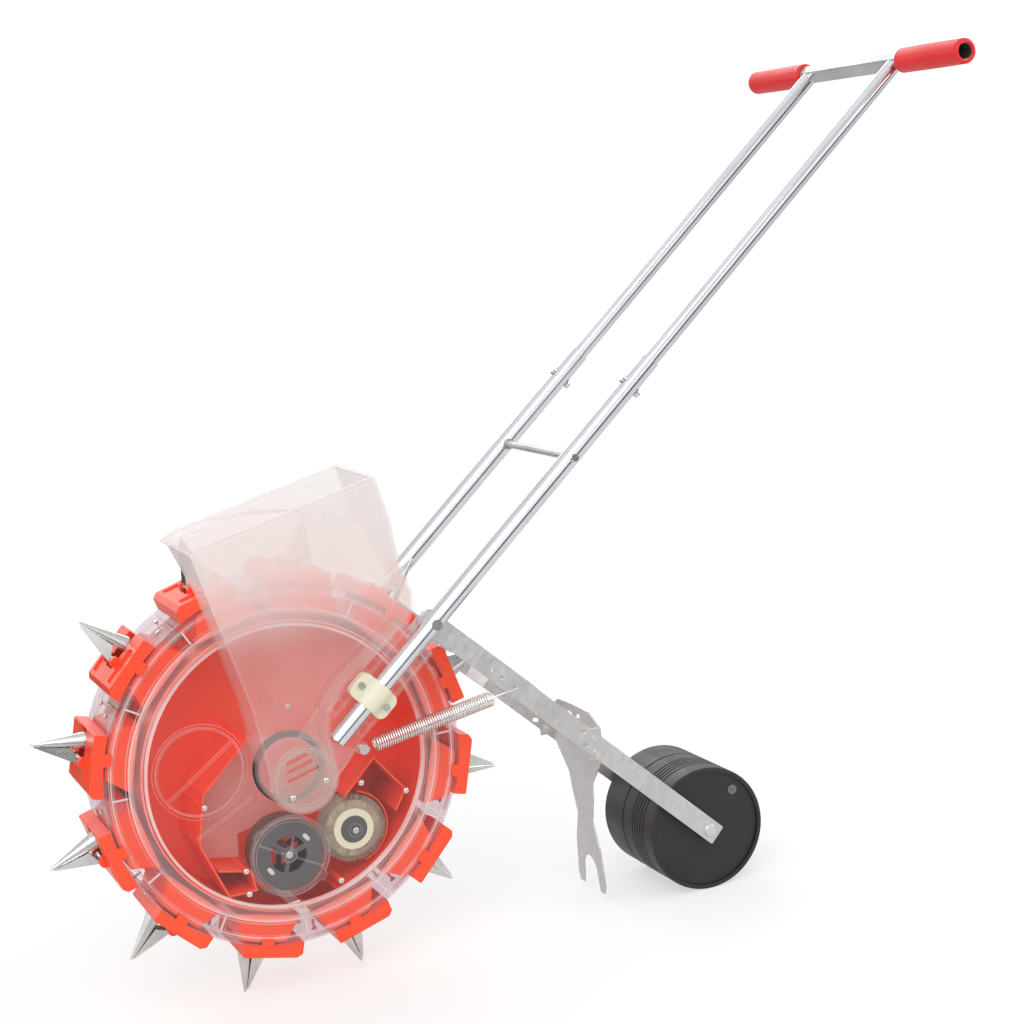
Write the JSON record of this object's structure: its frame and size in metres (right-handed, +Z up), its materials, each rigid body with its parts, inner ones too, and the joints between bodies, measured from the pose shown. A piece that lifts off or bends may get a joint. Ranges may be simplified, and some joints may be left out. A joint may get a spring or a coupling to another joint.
{
  "type": "push seeder",
  "caption": "Hand-pushed drum seeder: clear wheel of opening steel beaks, side hopper, geared seed roller and brush, long tubular handle, sprung coverer and press wheel.",
  "frame": {"origin": "centre of the bounding box on the ground, the ground being the plane of the lowest beak tips and the press wheel", "axes": "+X back towards the operator, +Y to the machine's right side, +Z up; it is pushed along -X"},
  "size_m": [1.1778, 0.4914, 1.0212],
  "materials": {
    "beak_steel": "brushed",
    "bolt_steel": "zinc plated",
    "bristle": "nylon bristle",
    "clear_hopper": "slightly milky clear plastic",
    "clear_shell": "clear moulded plastic",
    "cream_plastic": "satin",
    "dark_plastic": "satin",
    "frosted_cap": "frosted clear plastic",
    "galvanised": "galvanised",
    "gear_plastic": "natural acetal",
    "grip_red": "soft",
    "milky_plastic": "milky clear plastic",
    "orange_plastic": "satin moulded",
    "plug_grey": "matte",
    "seal_rubber": "matte",
    "spring_steel": "bright wire",
    "wheel_black": "matte moulded",
    "zinc_steel": "bright zinc plated"
  },
  "bodies": {
    "frame": {"housing_cover": "clear_shell", "housing_back": "orange_plastic", "seed_partition": "milky_plastic", "port_seal": "seal_rubber", "roller_cover": "clear_shell", "window_cover": "clear_shell", "case_screws": "bolt_steel", "gear_cover": "clear_shell", "hopper": "clear_hopper", "outlet_cap": "frosted_cap", "right_bracket": "clear_hopper", "lower_tube_left": "zinc_steel", "lower_tube_right": "zinc_steel", "upper_tube_left": "zinc_steel", "upper_tube_right": "zinc_steel", "tube_bolts": "bolt_steel", "crossbar": "zinc_steel", "handlebar": "zinc_steel", "grip_left": "grip_red", "grip_right": "grip_red", "clamp_left": "cream_plastic", "clamp_right": "cream_plastic", "bracket_bolts": "bolt_steel", "pivot_bolts": "bolt_steel", "arm_spring": "spring_steel"},
    "drum": {"drum_ring_left": "clear_shell", "drum_ring_right": "clear_shell", "tread_segments": "clear_shell", "tread_screws": "bolt_steel", "beak_holders": "orange_plastic", "fixed_beaks": "beak_steel", "jaw_pins": "bolt_steel", "jaw_springs": "spring_steel", "seed_pockets": "orange_plastic", "ring_gear": "gear_plastic"},
    "roller": {"seed_roller": "dark_plastic", "roller_pinion": "gear_plastic"},
    "brush": {"brush_shaft": "dark_plastic", "brush_ring": "cream_plastic", "brush_bristles": "bristle"},
    "rear_arm": {"arm_left": "galvanised", "arm_right": "galvanised", "coverer": "galvanised", "coverer_bolts": "bolt_steel", "press_axle": "zinc_steel"},
    "rear_wheel": {"press_wheel": "wheel_black", "press_wheel_lid": "wheel_black", "press_wheel_plug": "plug_grey"},
    "jaw_01": {"jaw_01": "beak_steel"},
    "jaw_02": {"jaw_02": "beak_steel"},
    "jaw_03": {"jaw_03": "beak_steel"},
    "jaw_04": {"jaw_04": "beak_steel"},
    "jaw_05": {"jaw_05": "beak_steel"},
    "jaw_06": {"jaw_06": "beak_steel"},
    "jaw_07": {"jaw_07": "beak_steel"},
    "jaw_08": {"jaw_08": "beak_steel"},
    "jaw_09": {"jaw_09": "beak_steel"},
    "jaw_10": {"jaw_10": "beak_steel"},
    "jaw_11": {"jaw_11": "beak_steel"},
    "jaw_12": {"jaw_12": "beak_steel"}
  },
  "joints": [
    {"name": "drum_spin", "type": "hinge", "parent": "frame", "child": "drum", "pos_m": [-0.31069, 0, 0.27821], "axis": [0, -1, 0], "continuous": true},
    {"name": "roller_spin", "type": "hinge", "parent": "frame", "child": "roller", "pos_m": [-0.3223, 0, 0.17134], "axis": [0, -1, 0], "continuous": true},
    {"name": "brush_spin", "type": "hinge", "parent": "frame", "child": "brush", "pos_m": [-0.23789, 0, 0.18126], "axis": [0, -1, 0], "continuous": true},
    {"name": "arm_swing", "type": "hinge", "parent": "frame", "child": "rear_arm", "pos_m": [-0.12619, 0, 0.42097], "axis": [0, -1, 0], "range_deg": [-8, 20], "deforming": ["arm_spring"]},
    {"name": "wheel_spin", "type": "hinge", "parent": "rear_arm", "child": "rear_wheel", "pos_m": [0.2183, 0, 0.079], "axis": [0, -1, 0], "continuous": true},
    {"name": "jaw_01_open", "type": "hinge", "parent": "drum", "child": "jaw_01", "pos_m": [-0.48394, 0, 0.43166], "axis": [0, -1, 0], "range_deg": [0, 28]},
    {"name": "jaw_02_open", "type": "hinge", "parent": "drum", "child": "jaw_02", "pos_m": [-0.53745, 0, 0.32448], "axis": [0, -1, 0], "range_deg": [0, 28]},
    {"name": "jaw_03_open", "type": "hinge", "parent": "drum", "child": "jaw_03", "pos_m": [-0.5302, 0, 0.2049], "axis": [0, -1, 0], "range_deg": [0, 28]},
    {"name": "jaw_04_open", "type": "hinge", "parent": "drum", "child": "jaw_04", "pos_m": [-0.46414, 0, 0.10497], "axis": [0, -1, 0], "range_deg": [0, 28]},
    {"name": "jaw_05_open", "type": "hinge", "parent": "drum", "child": "jaw_05", "pos_m": [-0.35696, 0, 0.05146], "axis": [0, -1, 0], "range_deg": [0, 28]},
    {"name": "jaw_06_open", "type": "hinge", "parent": "drum", "child": "jaw_06", "pos_m": [-0.23738, 0, 0.05871], "axis": [0, -1, 0], "range_deg": [0, 28]},
    {"name": "jaw_07_open", "type": "hinge", "parent": "drum", "child": "jaw_07", "pos_m": [-0.13745, 0, 0.12477], "axis": [0, -1, 0], "range_deg": [0, 28]},
    {"name": "jaw_08_open", "type": "hinge", "parent": "drum", "child": "jaw_08", "pos_m": [-0.08394, 0, 0.23195], "axis": [0, -1, 0], "range_deg": [0, 28]},
    {"name": "jaw_09_open", "type": "hinge", "parent": "drum", "child": "jaw_09", "pos_m": [-0.09119, 0, 0.35152], "axis": [0, -1, 0], "range_deg": [0, 28]},
    {"name": "jaw_10_open", "type": "hinge", "parent": "drum", "child": "jaw_10", "pos_m": [-0.15725, 0, 0.45146], "axis": [0, -1, 0], "range_deg": [0, 28]},
    {"name": "jaw_11_open", "type": "hinge", "parent": "drum", "child": "jaw_11", "pos_m": [-0.26443, 0, 0.50497], "axis": [0, -1, 0], "range_deg": [0, 28]},
    {"name": "jaw_12_open", "type": "hinge", "parent": "drum", "child": "jaw_12", "pos_m": [-0.38401, 0, 0.49772], "axis": [0, -1, 0], "range_deg": [0, 28]}
  ],
  "couplings": [
    {"joint": "roller_spin", "follows": "drum_spin", "ratio": 3},
    {"joint": "brush_spin", "follows": "drum_spin", "ratio": -5.16}
  ]
}
